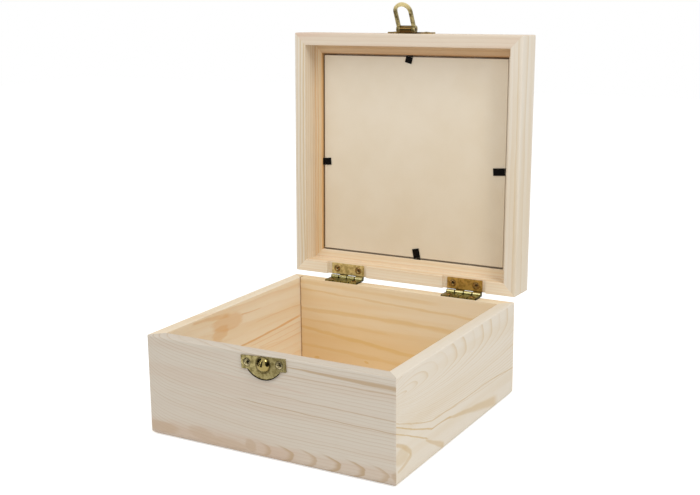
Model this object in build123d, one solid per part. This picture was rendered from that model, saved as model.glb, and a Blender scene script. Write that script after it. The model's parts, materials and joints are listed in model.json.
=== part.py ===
from build123d import *
import math
import os

# Wooden display box, shown open: a square pine base and a hinged lid that is a shallow tray behind a
# picture frame. Millimetres, +Z up, +X to the right seen from the front, front face towards -Y.
# The origin is the middle of the base's underside.

# Base
box_width = 160.0
box_depth = 160.0
base_height = 60.0
board = 8.0
foot_round = 3.5
rim_round = 0.8
inner_round = 0.4
corner_round = 1.0
bottom_thickness = 4.0
bottom_rebate = 4.0
bottom_clearance = 0.1

# Lid boards
lid_height = 22.0
lid_top_round = 1.5
closed_gap = 0.3
open_angle = 91.5

# Picture frame inside the lid boards, measured from the lid's mating rim
ledge_depth = 12.5
ledge_width = 5.6
lip_width = 5.4
lip_thickness = 3.0
sight_round = 1.0
glass_thickness = 2.0
glass_clearance = 0.5
backing_thickness = 3.0
backing_clearance = 0.9

# Butt hinges
hinge_left_inset = 39.7
hinge_right_inset = 35.0
leaf_length = 24.0
leaf_reach = 7.6
leaf_thickness = 1.0
knuckle_radius = 1.35
knuckle_count = 4
knuckle_gap = 0.2
knuckle_clearance = 0.05
hinge_pin_radius = 0.6
hinge_screw_pitch = 16.0
mortise_length = 30.0

# Wood screws
screw_head_radius = 2.1
screw_head_depth = 0.9
screw_dome = 0.3
screw_shank_radius = 1.0
screw_length = 6.5
screw_tip = 1.6
recess_width = 0.55
recess_length = 2.4
recess_depth = 0.7
wood_fit = 0.02

# Catch plate with its pressed dome, on the front wall
catch_width = 28.5
catch_bar = 7.5
catch_apron_width = 21.4
catch_apron_depth = 5.7
catch_thickness = 1.0
catch_below_rim = 0.9
catch_screw_pitch = 20.8
catch_tilt = 3.5
dome_radius = 4.6
dome_proud = 3.05
dome_below_rim = 5.4
dome_foot = 2.9
dome_wall = 0.8

# Hasp plate on the lid's front, and its swinging loop
hasp_width = 30.0
hasp_bar = 7.5
hasp_crest_width = 20.0
hasp_crest_depth = 3.6
hasp_screw_pitch = 21.5
hasp_axis_height = 5.5
hasp_barrel_radius = 2.4
hasp_barrel_clearance = 0.35
hasp_pin_radius = 1.0
hasp_pin_proud = 0.2
loop_width = 12.8
loop_length = 18.4
loop_strip = 2.3
loop_thickness = 1.4
loop_side_gap = 0.2
loop_rest_swing = 62.5

# Flexible points that hold the backing panel: place along the side, slant and length showing
point_width = 4.6
point_thickness = 0.5
point_length = 15.0
point_stub = 0.8
point_bend_gap = 0.35
point_over_panel = 0.1
point_places = {
    "front": {"along": -1.6, "slant": 15.0, "showing": 5.2},
    "right": {"along": 4.2, "slant": -4.0, "showing": 8.8},
    "back": {"along": -5.5, "slant": -12.0, "showing": 7.2},
    "left": {"along": -5.9, "slant": -4.0, "showing": 6.2},
}

running_fit = 0.05

# Levels and axes that follow from the sizes
lid_rim = base_height + closed_gap
lid_top = lid_rim + lid_height
hinge_axis_y = box_depth / 2 + knuckle_radius + knuckle_clearance
hinge_axis_z = base_height + knuckle_radius + knuckle_clearance
hinge_centres = {
    "left": -box_width / 2 + hinge_left_inset,
    "right": box_width / 2 - hinge_right_inset,
}
lid_leaf_top = hinge_axis_z + knuckle_radius + knuckle_clearance
rebate_inset = board + ledge_width
sight_inset = rebate_inset + lip_width
glass_top = lid_top - lip_thickness
backing_top = glass_top - glass_thickness
backing_face = backing_top - backing_thickness
hasp_axis_y = -box_depth / 2 - hasp_barrel_radius - hasp_barrel_clearance
hasp_axis_z = lid_rim + hasp_axis_height
loop_eye_width = loop_strip
barrel_half = loop_width / 2 - loop_eye_width - loop_side_gap
side_turns = {"front": 0, "right": 90, "back": 180, "left": 270}


def side_span(side):
    """Length of one side and its distance from the middle."""
    if side in ("front", "back"):
        return box_width, box_depth / 2
    return box_depth, box_width / 2


def profile(corners):
    """Closed outline in the YZ plane from (y, z, radius) corners, sharp where the radius is 0."""
    outline = make_face(Polyline(*[(y, z) for y, z, radius in corners], close=True))
    for y, z, radius in corners:
        if radius > 0:
            corner = outline.vertices().sort_by_distance((y, z, 0))[0]
            outline = fillet(corner, radius)
    return Plane.YZ * outline


def mitred_side(side, corners, reach_in):
    """Straight board of the given section, mitred at both ends and turned to its side."""
    length, reach = side_span(side)
    bar = extrude(Pos(0, -reach, 0) * profile(corners), amount=length / 2, both=True)
    trapezoid = Polyline(
        (-length / 2, -reach),
        (length / 2, -reach),
        (length / 2 - reach_in, -reach + reach_in),
        (-length / 2 + reach_in, -reach + reach_in),
        close=True,
    )
    keep = extrude(make_face(trapezoid), amount=lid_top)
    return Rot(0, 0, side_turns[side]) * (bar & keep)


def eased_corners(low, high):
    """Slivers to cut from the four upright outer corners, so that they are softly rounded."""
    height = high - low
    slivers = []
    for x_sign in (-1, 1):
        for y_sign in (-1, 1):
            x_in = x_sign * (box_width / 2 - corner_round / 2)
            y_in = y_sign * (box_depth / 2 - corner_round / 2)
            block = Pos(x_in, y_in, low + height / 2) * Box(corner_round, corner_round, height)
            x_axis = x_sign * (box_width / 2 - corner_round)
            y_axis = y_sign * (box_depth / 2 - corner_round)
            round_bar = Pos(x_axis, y_axis, low + height / 2) * Cylinder(corner_round, height)
            slivers.append(block - round_bar)
    return slivers


def screw_blank(extra=0.0):
    """Countersunk wood screw along -Z with its plate face at z = 0; extra widens it into a hole."""
    head = screw_head_radius + extra
    shank = screw_shank_radius + extra
    length = screw_length + extra
    crown_radius = (head**2 + screw_dome**2) / (2 * screw_dome)
    shoulder = head * math.cos(math.radians(45))
    shoulder_z = math.sqrt(crown_radius**2 - shoulder**2) - (crown_radius - screw_dome)
    outline = [
        Line((0, screw_dome), (0, -length)),
        Polyline((0, -length), (shank, -length + screw_tip), (shank, -screw_head_depth - extra), (head, 0)),
        ThreePointArc((head, 0), (shoulder, shoulder_z), (0, screw_dome)),
    ]
    return revolve(Plane.XZ * make_face(outline), Axis.Z)


def wood_screw():
    """Screw with a cross recess in its head."""
    slot_z = screw_dome - recess_depth / 2
    slot = Box(recess_length, recess_width, recess_depth)
    return screw_blank() - Pos(0, 0, slot_z) * slot - Pos(0, 0, slot_z) * Rot(0, 0, 90) * slot


def pair_of(places, shape):
    """The same shape at each place."""
    return [place * shape for place in places]


def base_hinge_screw_places(side):
    """Heads up on the base leaf, in the middle of the board."""
    height = base_height + leaf_thickness
    middle = box_depth / 2 - board / 2
    return [
        Pos(hinge_centres[side] + offset, middle, height)
        for offset in (-hinge_screw_pitch / 2, hinge_screw_pitch / 2)
    ]


def lid_hinge_screw_places(side):
    """Heads down on the lid leaf of the closed lid."""
    height = lid_leaf_top - leaf_thickness
    middle = box_depth / 2 - board / 2
    return [
        Pos(hinge_centres[side] + offset, middle, height) * Rot(180, 0, 0)
        for offset in (-hinge_screw_pitch / 2, hinge_screw_pitch / 2)
    ]


def catch_place():
    """Frame of the catch: on the front wall, at the dome, turned by the plate's slight tilt."""
    return Pos(0, -box_depth / 2, base_height - dome_below_rim) * Rot(0, -catch_tilt, 0)


def catch_screw_places():
    """Heads forward on the catch plate, in the middle of its bar."""
    middle = dome_below_rim - catch_below_rim - catch_bar / 2
    return [
        catch_place() * Pos(offset, -catch_thickness, middle) * Rot(90, 0, 0)
        for offset in (-catch_screw_pitch / 2, catch_screw_pitch / 2)
    ]


def hasp_bar_low():
    """Lower edge of the hasp plate's bar, just clear of the loop's eyes."""
    return hasp_axis_z + hasp_barrel_radius + hasp_barrel_clearance


def hasp_screw_places():
    """Heads forward on the hasp plate of the closed lid."""
    middle = hasp_bar_low() + hasp_bar / 2
    return [
        Pos(offset, -box_depth / 2 - catch_thickness, middle) * Rot(90, 0, 0)
        for offset in (-hasp_screw_pitch / 2, hasp_screw_pitch / 2)
    ]


def base_wall(side):
    """One board of the base, with its rebate for the bottom panel."""
    corners = [
        (0, 0, foot_round),
        (board - bottom_rebate, 0, 0),
        (board - bottom_rebate, bottom_thickness, 0),
        (board, bottom_thickness, 0),
        (board, base_height, inner_round),
        (0, base_height, rim_round),
    ]
    wall = mitred_side(side, corners, board)
    for sliver in eased_corners(0, base_height):
        wall -= sliver
    return wall


def front_wall():
    """Front board, with holes for the catch's screws."""
    wall = base_wall("front")
    for hole in pair_of(catch_screw_places(), screw_blank(wood_fit)):
        wall -= hole
    return wall


def back_wall():
    """Back board, with holes for the hinge screws in its rim."""
    wall = base_wall("back")
    for side in hinge_centres:
        for hole in pair_of(base_hinge_screw_places(side), screw_blank(wood_fit)):
            wall -= hole
    return wall


def bottom_panel():
    """Thin bottom let into the rebates, flush with the underside."""
    width = box_width - 2 * (board - bottom_rebate + bottom_clearance)
    depth = box_depth - 2 * (board - bottom_rebate + bottom_clearance)
    return Pos(0, 0, bottom_thickness / 2) * Box(width, depth, bottom_thickness)


def knuckle_spans(own_parity):
    """Start and end, along the hinge, of every knuckle that belongs to one leaf."""
    pitch = leaf_length / knuckle_count
    spans = []
    for index in range(knuckle_count):
        if index % 2 == own_parity:
            start = -leaf_length / 2 + index * pitch
            spans.append((start + knuckle_gap / 2, start + pitch - knuckle_gap / 2))
    return spans


def hinge_leaf(own_parity, plate_low):
    """Leaf plate at its level, with its rolled knuckles round the hinge axis."""
    front = box_depth / 2 - leaf_reach
    back = hinge_axis_y - knuckle_radius - knuckle_gap
    level = plate_low + leaf_thickness / 2
    leaf = Pos(0, (front + back) / 2, level) * Box(leaf_length, back - front, leaf_thickness)
    for start, end in knuckle_spans(own_parity):
        middle = (start + end) / 2
        tab = Box(end - start, hinge_axis_y - back, leaf_thickness)
        leaf += Pos(middle, (back + hinge_axis_y) / 2, level) * tab
        roll = Rot(0, 90, 0) * Cylinder(knuckle_radius, end - start)
        leaf += Pos(middle, hinge_axis_y, hinge_axis_z) * roll
    bore = Rot(0, 90, 0) * Cylinder(hinge_pin_radius + running_fit, leaf_length)
    leaf -= Pos(0, hinge_axis_y, hinge_axis_z) * bore
    return leaf


def base_hinge_leaf(side):
    """Leaf that lies on the back wall's rim."""
    leaf = Pos(hinge_centres[side], 0, 0) * hinge_leaf(0, base_height)
    for hole in pair_of(base_hinge_screw_places(side), screw_blank(wood_fit)):
        leaf -= hole
    return leaf


def lid_hinge_leaf(side):
    """Leaf in the lid's mortise, above the base's leaf when the lid is closed."""
    leaf = Pos(hinge_centres[side], 0, 0) * hinge_leaf(1, lid_leaf_top - leaf_thickness)
    for hole in pair_of(lid_hinge_screw_places(side), screw_blank(wood_fit)):
        leaf -= hole
    return leaf


def hinge_pin(side):
    """Plain pin through both leaves' knuckles."""
    pin = Rot(0, 90, 0) * Cylinder(hinge_pin_radius, leaf_length)
    return Pos(hinge_centres[side], hinge_axis_y, hinge_axis_z) * pin


def bar_with_bow(width, bar, bow_width, bow_depth, bow_sign):
    """Plate outline: a bar on z = 0 to its height, with a bowed apron below it or crest above it."""
    bow_radius = ((bow_width / 2) ** 2 + bow_depth**2) / (2 * bow_depth)
    edge = bar if bow_sign > 0 else 0
    tip = edge + bow_sign * bow_depth
    bow = make_face(
        [
            ThreePointArc((-bow_width / 2, edge), (0, tip), (bow_width / 2, edge)),
            Line((bow_width / 2, edge), (-bow_width / 2, edge)),
        ]
    )
    return Pos(0, bar / 2) * Rectangle(width, bar) + bow


def catch_plate():
    """Brass plate with a bowed apron and a hollow dome, open below, that the loop drops over."""
    bar_low = dome_below_rim - catch_below_rim - catch_bar
    outline = bar_with_bow(catch_width, catch_bar, catch_apron_width, catch_apron_depth, -1)
    plate = extrude(Plane.XZ * (Pos(0, bar_low) * outline), amount=catch_thickness)
    centre_y = -(catch_thickness + dome_proud - dome_radius)
    reach = 2 * dome_radius
    front_half = Pos(0, -reach / 2, 0) * Box(2 * reach, reach, 2 * reach)
    above_foot = Pos(0, 0, reach / 2 - dome_foot) * Box(2 * reach, 2 * reach, reach)
    dome = Pos(0, centre_y, 0) * Sphere(dome_radius) & front_half & above_foot
    hollow = Pos(0, centre_y, 0) * Sphere(dome_radius - dome_wall) & above_foot
    plate = catch_place() * (plate + dome - hollow)
    for hole in pair_of(catch_screw_places(), screw_blank(wood_fit)):
        plate -= hole
    return plate


def lid_board(side):
    """One outer board of the closed lid."""
    corners = [
        (0, lid_rim, rim_round),
        (board, lid_rim, inner_round),
        (board, lid_top, 0),
        (0, lid_top, lid_top_round),
    ]
    rail = mitred_side(side, corners, board)
    for sliver in eased_corners(lid_rim, lid_top):
        rail -= sliver
    return rail - point_slot(side)


def lid_front_board():
    """Front board of the lid, with holes for the hasp's screws."""
    rail = lid_board("front")
    for hole in pair_of(hasp_screw_places(), screw_blank(wood_fit)):
        rail -= hole
    return rail


def lid_back_board():
    """Back board of the lid, notched through its rim for both leaves of each hinge."""
    rail = lid_board("back")
    depth = lid_leaf_top - lid_rim
    for side, centre in hinge_centres.items():
        notch = Box(mortise_length, 2 * board, depth)
        rail -= Pos(centre, box_depth / 2 - board / 2, lid_rim + depth / 2) * notch
        for hole in pair_of(lid_hinge_screw_places(side), screw_blank(wood_fit)):
            rail -= hole
    return rail


def frame_rail(side):
    """One rail of the picture frame, rebated for the glass and the backing panel."""
    corners = [
        (board, lid_rim + ledge_depth, 0),
        (rebate_inset, lid_rim + ledge_depth, inner_round),
        (rebate_inset, glass_top, 0),
        (sight_inset, glass_top, 0),
        (sight_inset, lid_top, sight_round),
        (board, lid_top, 0),
    ]
    rail = mitred_side(side, corners, sight_inset)
    return rail - point_slot(side)


def glass_pane():
    """Pane that lies against the frame's lip."""
    inset = rebate_inset + glass_clearance
    pane = Box(box_width - 2 * inset, box_depth - 2 * inset, glass_thickness)
    return Pos(0, 0, (glass_top + backing_top) / 2) * pane


def backing_panel():
    """Thin panel that presses the pane into the frame."""
    inset = rebate_inset + backing_clearance
    panel = Box(box_width - 2 * inset, box_depth - 2 * inset, backing_thickness)
    return Pos(0, 0, (backing_top + backing_face) / 2) * panel


def point_frame(side):
    """Frame of one flexible point: at its rebate wall, pointing inwards along local +Y."""
    place = point_places[side]
    length, reach = side_span(side)
    level = backing_face - point_over_panel - point_thickness / 2
    at_wall = Pos(place["along"], -reach + rebate_inset, level)
    return Rot(0, 0, side_turns[side]) * at_wall * Rot(0, 0, place["slant"])


def point_shank(side, extra=0.0):
    """Driven part of a flexible point, in its slot through the frame rail into the lid board."""
    length = point_length - point_places[side]["showing"] + point_stub
    shank = Box(point_width + 2 * extra, length, point_thickness + 2 * extra)
    return point_frame(side) * Pos(0, point_stub - length / 2, 0) * shank


def point_slot(side):
    """Slot that the shank fills."""
    return point_shank(side, wood_fit)


def point_tongue(side):
    """Showing part of a flexible point, which lies over the backing panel."""
    start = point_stub + point_bend_gap
    length = point_places[side]["showing"] - start
    tongue = Box(point_width, length, point_thickness)
    return point_frame(side) * Pos(0, start + length / 2, 0) * tongue


def point_bend_axis(side):
    """Place and direction of a flexible point's bend line, at its tongue's root, so that it lifts."""
    frame = point_frame(side) * Pos(0, point_stub + point_bend_gap, 0)
    return frame.position, (frame * Pos(-1, 0, 0)).position - frame.position


def hasp_plate():
    """Brass plate on the lid's front with a barrel for the loop's pin."""
    outline = bar_with_bow(hasp_width, hasp_bar, hasp_crest_width, hasp_crest_depth, 1)
    plate = extrude(Plane.XZ * (Pos(0, hasp_bar_low()) * outline), amount=catch_thickness)
    plate = Pos(0, -box_depth / 2, 0) * plate
    strap_height = hasp_bar_low() - hasp_axis_z
    strap = Box(2 * barrel_half, catch_thickness, strap_height)
    strap_y = -box_depth / 2 - catch_thickness / 2
    plate += Pos(0, strap_y, hasp_axis_z + strap_height / 2) * strap
    barrel = Rot(0, 90, 0) * Cylinder(hasp_barrel_radius, 2 * barrel_half)
    plate += Pos(0, hasp_axis_y, hasp_axis_z) * barrel
    bore = Rot(0, 90, 0) * Cylinder(hasp_pin_radius + wood_fit, 2 * barrel_half)
    plate -= Pos(0, hasp_axis_y, hasp_axis_z) * bore
    for hole in pair_of(hasp_screw_places(), screw_blank(wood_fit)):
        plate -= hole
    return plate


def hasp_pin():
    """Pin through the plate's barrel and the loop's eyes."""
    pin = Rot(0, 90, 0) * Cylinder(hasp_pin_radius, loop_width + 2 * hasp_pin_proud)
    return Pos(0, hasp_axis_y, hasp_axis_z) * pin


def hasp_loop():
    """Flat loop with an eye at each foot, hanging straight down as when it is latched."""
    outer = loop_width / 2
    inner = outer - loop_strip
    arc_z = -loop_length + outer
    stadium = Pos(0, arc_z) * Circle(outer) + Pos(0, arc_z / 2) * Rectangle(2 * outer, -arc_z)
    window = Pos(0, arc_z) * Circle(inner) + Pos(0, arc_z / 2) * Rectangle(2 * inner, -arc_z)
    strip = extrude(Plane.XZ * (stadium - window), amount=loop_thickness / 2, both=True)
    eye = Rot(0, 90, 0) * Cylinder(hasp_barrel_radius, loop_eye_width)
    for sign in (-1, 1):
        strip += Pos(sign * (outer - loop_eye_width / 2), 0, 0) * eye
    strip -= Rot(0, 90, 0) * Cylinder(hasp_pin_radius + running_fit, 2 * loop_width)
    return Pos(0, hasp_axis_y, hasp_axis_z) * Rot(-loop_rest_swing, 0, 0) * strip


def opened(shape):
    """A piece of the closed lid, swung open about the hinge axis."""
    return shape.rotate(Axis((0, hinge_axis_y, hinge_axis_z), (1, 0, 0)), -open_angle)


def opened_group(shapes):
    """Several pieces of the closed lid as one group, swung open."""
    return Compound([opened(shape).solid() for shape in shapes])


def screw_group(places):
    """Identical screws as one group of separate solids."""
    return [shape.solid() for shape in pair_of(places, wood_screw())]


def base_nodes():
    """Every piece of the base."""
    nodes = {
        "front_wall": front_wall(),
        "back_wall": back_wall(),
        "left_wall": base_wall("left"),
        "right_wall": base_wall("right"),
        "bottom_panel": bottom_panel(),
        "catch_plate": catch_plate(),
        "catch_screws": Compound(screw_group(catch_screw_places())),
    }
    hinge_screws = []
    for side in hinge_centres:
        nodes["base_hinge_leaf_" + side] = base_hinge_leaf(side)
        nodes["hinge_pin_" + side] = hinge_pin(side)
        hinge_screws += screw_group(base_hinge_screw_places(side))
    nodes["base_hinge_screws"] = Compound(hinge_screws)
    return nodes


def lid_nodes():
    """Every piece of the lid, the hasp and the flexible points, swung open."""
    nodes = {
        "lid_front_board": opened(lid_front_board()),
        "lid_back_board": opened(lid_back_board()),
        "lid_left_board": opened(lid_board("left")),
        "lid_right_board": opened(lid_board("right")),
        "glass_pane": opened(glass_pane()),
        "backing_panel": opened(backing_panel()),
        "hasp_plate": opened(hasp_plate()),
        "hasp_pin": opened(hasp_pin()),
        "hasp_screws": opened_group(screw_group(hasp_screw_places())),
        "hasp_loop": opened(hasp_loop()),
        "point_shanks": opened_group([point_shank(side) for side in point_places]),
    }
    hinge_screws = []
    for side in hinge_centres:
        nodes["lid_hinge_leaf_" + side] = opened(lid_hinge_leaf(side))
        hinge_screws += screw_group(lid_hinge_screw_places(side))
    nodes["lid_hinge_screws"] = opened_group(hinge_screws)
    for side in side_turns:
        nodes["frame_rail_" + side] = opened(frame_rail(side))
        nodes["point_tongue_" + side] = opened(point_tongue(side))
    return nodes


def joint_line(name, point, direction):
    """Print a joint's place and direction in the open pose, in metres."""
    swing = Rot(-open_angle, 0, 0)
    axis_point = Vector(0, hinge_axis_y, hinge_axis_z)
    moved = (swing * Pos(*(point - axis_point))).position + axis_point
    turned = (swing * Pos(*direction)).position
    place = [round(value / 1000, 6) for value in moved]
    print(name, place, [round(value, 6) for value in turned])


nodes = {**base_nodes(), **lid_nodes()}
os.makedirs("parts", exist_ok=True)
for name, shape in nodes.items():
    export_step(shape, "parts/" + name + ".step")

print("lid_hinge", [0, hinge_axis_y / 1000, hinge_axis_z / 1000])
joint_line("hasp_swing", Vector(0, hasp_axis_y, hasp_axis_z), Vector(1, 0, 0))
for side in point_places:
    joint_line("point_" + side, *point_bend_axis(side))
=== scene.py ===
import json
import logging
import math
from collections.abc import Iterable, Sequence
from dataclasses import dataclass, field
from enum import Enum
from typing import ClassVar

import bpy
from mathutils import Matrix, Vector

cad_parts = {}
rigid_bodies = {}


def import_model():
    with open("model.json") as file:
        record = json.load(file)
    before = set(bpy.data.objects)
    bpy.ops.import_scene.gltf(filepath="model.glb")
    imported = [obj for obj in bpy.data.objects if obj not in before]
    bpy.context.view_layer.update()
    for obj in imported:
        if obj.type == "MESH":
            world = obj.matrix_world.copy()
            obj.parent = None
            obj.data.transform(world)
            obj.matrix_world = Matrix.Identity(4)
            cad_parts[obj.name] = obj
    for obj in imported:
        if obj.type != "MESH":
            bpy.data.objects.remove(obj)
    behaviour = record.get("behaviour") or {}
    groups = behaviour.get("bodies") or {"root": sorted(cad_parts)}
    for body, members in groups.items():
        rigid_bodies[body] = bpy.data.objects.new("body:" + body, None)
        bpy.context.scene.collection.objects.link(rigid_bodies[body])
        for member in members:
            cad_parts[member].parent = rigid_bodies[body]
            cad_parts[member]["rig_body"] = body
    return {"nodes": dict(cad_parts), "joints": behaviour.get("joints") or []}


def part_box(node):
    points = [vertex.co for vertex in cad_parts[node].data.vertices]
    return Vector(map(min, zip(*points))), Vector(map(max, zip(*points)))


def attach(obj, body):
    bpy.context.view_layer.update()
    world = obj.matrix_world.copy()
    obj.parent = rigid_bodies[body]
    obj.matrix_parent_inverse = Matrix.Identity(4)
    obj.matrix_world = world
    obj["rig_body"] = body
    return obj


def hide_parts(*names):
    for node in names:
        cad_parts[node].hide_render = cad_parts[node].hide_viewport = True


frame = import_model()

# Looks of an open display box: pine boards with mitred corners, brass fittings and a framed lid.
# Places are in metres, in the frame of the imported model. Grain, clouds and marks are in millimetres.

Triple = tuple[float, float, float]
Colour = tuple[float, float, float, float]
Span = tuple[float, float]
Spot = tuple[Vector, Vector]
Socket = bpy.types.NodeSocket

LOG = logging.getLogger("display_box")
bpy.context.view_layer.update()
MM = 0.001
RIGHT = (1.0, 0.0, 0.0)
LEFT = (-1.0, 0.0, 0.0)
BACK = (0.0, 1.0, 0.0)
FRONT = (0.0, -1.0, 0.0)
UP = (0.0, 0.0, 1.0)
WHITE = (1.0, 1.0, 1.0, 1.0)


def srgb(red: int, green: int, blue: int) -> Colour:
    """Turn a screen colour into the linear colour that shaders take.

    Args:
        red: Red, 0 to 255.
        green: Green, 0 to 255.
        blue: Blue, 0 to 255.

    Returns:
        Linear red, green, blue and an alpha of 1.
    """
    toe = 0.04045
    toe_slope = 12.92
    offset = 0.055
    power = 2.4
    linear = []
    for part in (red, green, blue):
        value = part / 255
        linear.append(value / toe_slope if value <= toe else ((value + offset) / (1 + offset)) ** power)
    return (*linear, 1.0)


class Field:
    """A number that varies from point to point, with Python's arithmetic on it."""

    def __init__(self, nodes: "Nodes", socket: Socket) -> None:
        """Wrap one output socket of a node tree."""
        self.nodes = nodes
        self.socket = socket

    def __add__(self, other: "float | Field") -> "Field":
        """Sum."""
        return self.nodes.math("ADD", self, other)

    def __radd__(self, other: "float | Field") -> "Field":
        """Sum, with the field on the right."""
        return self.nodes.math("ADD", other, self)

    def __sub__(self, other: "float | Field") -> "Field":
        """Difference."""
        return self.nodes.math("SUBTRACT", self, other)

    def __rsub__(self, other: "float | Field") -> "Field":
        """Difference, with the field on the right."""
        return self.nodes.math("SUBTRACT", other, self)

    def __mul__(self, other: "float | Field") -> "Field":
        """Product."""
        return self.nodes.math("MULTIPLY", self, other)

    def __rmul__(self, other: "float | Field") -> "Field":
        """Product, with the field on the right."""
        return self.nodes.math("MULTIPLY", other, self)

    def __truediv__(self, other: "float | Field") -> "Field":
        """Quotient."""
        return self.nodes.math("DIVIDE", self, other)

    def __pow__(self, other: "float | Field") -> "Field":
        """Power."""
        return self.nodes.math("POWER", self, other)

    def floor(self) -> "Field":
        """Whole part."""
        return self.nodes.math("FLOOR", self)

    def root(self) -> "Field":
        """Square root."""
        return self.nodes.math("SQRT", self)

    def exp(self) -> "Field":
        """Natural exponential."""
        return self.nodes.math("EXPONENT", self)

    def size(self) -> "Field":
        """Value without its sign."""
        return self.nodes.math("ABSOLUTE", self)

    def rise(self, low: float, high: float) -> "Field":
        """Smooth step from 0 to 1.

        Args:
            low: Value at which the step starts.
            high: Value at which the step ends.

        Returns:
            The stepped field.
        """
        values = {"Value": self, "From Min": low, "From Max": high}
        return self.nodes.number("ShaderNodeMapRange", {"interpolation_type": "SMOOTHSTEP"}, values)

    def ramp(
        self,
        low: "float | Field",
        high: "float | Field",
        start: "float | Field",
        end: "float | Field",
    ) -> "Field":
        """Straight ramp that stays level beyond both ends.

        Args:
            low: Value at which the ramp starts.
            high: Value at which the ramp ends.
            start: Result at its start.
            end: Result at its end.

        Returns:
            The ramped field.
        """
        return self.nodes.number("ShaderNodeMapRange", {}, {0: self, 1: low, 2: high, 3: start, 4: end})


class Nodes:
    """A node tree that is built node by node."""

    def __init__(self, tree: bpy.types.NodeTree) -> None:
        """Keep the tree."""
        self.tree = tree

    def link(self, source: Socket | Field, target: Socket) -> None:
        """Join an output to an input."""
        start = source.socket if isinstance(source, Field) else source
        self.tree.links.new(start, target)

    def node(self, kind: str, settings: dict[str, object], values: dict[str | int, object]) -> bpy.types.Node:
        """Add one node.

        Args:
            kind: The node's type.
            settings: Its properties, which are set before its sockets.
            values: Its input sockets, by name or number, as plain values, fields or sockets.

        Returns:
            The new node.
        """
        made = self.tree.nodes.new(kind)
        for name, setting in settings.items():
            setattr(made, name, setting)
        for name, value in values.items():
            if isinstance(value, (Field, Socket)):
                self.link(value, made.inputs[name])
            else:
                made.inputs[name].default_value = value
        return made

    def number(self, kind: str, settings: dict[str, object], values: dict[str | int, object]) -> Field:
        """Add one node and return its first output as a field."""
        return Field(self, self.node(kind, settings, values).outputs[0])

    def math(self, operation: str, *operands: "float | Field | Socket") -> Field:
        """Add a Math node on up to three operands."""
        return self.number("ShaderNodeMath", {"operation": operation}, dict(enumerate(operands)))

    def vector(self, x: float | Field, y: float | Field, z: float | Field) -> Socket:
        """Join three numbers into a vector."""
        return self.node("ShaderNodeCombineXYZ", {}, {0: x, 1: y, 2: z}).outputs[0]


class Surface(Nodes):
    """One material and its node tree."""

    def __init__(self, name: str) -> None:
        """Make an empty material.

        Args:
            name: The material's name.
        """
        self.material = bpy.data.materials.new(name)
        self.material.use_nodes = True
        super().__init__(self.material.node_tree)
        self.tree.nodes.clear()

    def place(self) -> Socket:
        """The point on the surface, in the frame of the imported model."""
        return self.node("ShaderNodeTexCoord", {}, {}).outputs["Object"]

    def along(self, direction: Sequence[float], origin: Sequence[float]) -> Field:
        """Distance of the point from an origin along a direction.

        Args:
            direction: Unit direction.
            origin: Origin, in metres.

        Returns:
            The distance, in millimetres.
        """
        start = sum(a * b for a, b in zip(direction, origin))
        settings = {"operation": "DOT_PRODUCT"}
        dot = self.node("ShaderNodeVectorMath", settings, {0: self.place(), 1: tuple(direction)})
        return (Field(self, dot.outputs["Value"]) - start) / MM

    def noise(self, where: Socket, scale: float, detail: float = 2.0, rough: float = 0.5) -> Field:
        """Smooth noise about 0.

        Args:
            where: Point at which the noise is read.
            scale: Waves in one unit of that point.
            detail: Octaves.
            rough: Share of each next octave.

        Returns:
            Noise from about -0.5 to 0.5.
        """
        values = {"Vector": where, "Scale": scale, "Detail": detail, "Roughness": rough}
        return self.number("ShaderNodeTexNoise", {}, values) - 0.5

    def clouds(self, width: float, detail: float = 2.0, rough: float = 0.5) -> Field:
        """Noise in clouds of that width in millimetres, the same in every direction."""
        return self.noise(self.place(), 1 / (width * MM), detail, rough)

    def chance(self, index: Field) -> Field:
        """A number from 0 to 1 that is different for each whole number."""
        return self.number("ShaderNodeTexWhiteNoise", {"noise_dimensions": "1D"}, {"W": index})

    def blend(self, share: float | Field, first: object, second: object) -> Socket:
        """Mix two colours.

        Args:
            share: Share of the second colour.
            first: First colour, or its socket.
            second: Second colour, or its socket.

        Returns:
            The mixed colour's socket.
        """
        settings = {"data_type": "RGBA", "clamp_factor": True}
        return self.node("ShaderNodeMix", settings, {0: share, 6: first, 7: second}).outputs[2]

    def bump(self, height: Field, distance: float) -> Socket:
        """Normal of a surface raised by a field.

        Args:
            height: Height, from about 0 to 1.
            distance: Real height of 1, in millimetres.

        Returns:
            The normal's socket.
        """
        values = {"Height": height, "Distance": distance * MM, "Strength": 1.0}
        return self.node("ShaderNodeBump", {}, values).outputs["Normal"]

    def finish(self, shader: bpy.types.Node) -> bpy.types.Material:
        """Send a shader to the material's output."""
        self.node("ShaderNodeOutputMaterial", {}, {"Surface": shader.outputs[0]})
        return self.material

    def shade(self, values: dict[str, object]) -> bpy.types.Material:
        """Finish the material with a principled shader that takes these sockets."""
        return self.finish(self.node("ShaderNodeBsdfPrincipled", {}, values))


class Tone(Enum):
    """Colours of pale pine: spring wood, summer wood and the flush that runs along some boards."""

    # The grey tone is painted shade: a greyer pine that the front wall takes for the shade falling on it.
    SHADED_GREY = (srgb(215, 205, 190), srgb(186, 158, 122), srgb(206, 180, 158))
    CREAM = (srgb(235, 225, 209), srgb(208, 176, 118), srgb(228, 212, 186))
    ROSY = (srgb(232, 217, 197), srgb(204, 168, 130), srgb(222, 190, 168))
    HONEY = (srgb(242, 224, 194), srgb(226, 188, 112), srgb(234, 200, 144))
    AMBER = (srgb(232, 206, 168), srgb(188, 140, 92), srgb(212, 172, 126))
    STRAW = (srgb(244, 231, 208), srgb(224, 174, 108), srgb(234, 204, 156))


@dataclass(frozen=True)
class Board:
    """Where a board lies: a corner of its showing face and three directions from there."""

    origin: Triple
    along: Triple
    across: Triple
    depth: Triple


class Shade(Enum):
    """Which colour a mark takes: one of the board's own, or the dark brown of the line down an inside corner.
    """

    SUMMER = 1
    FLUSH = 2
    CORNER_LINE = 3


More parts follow.
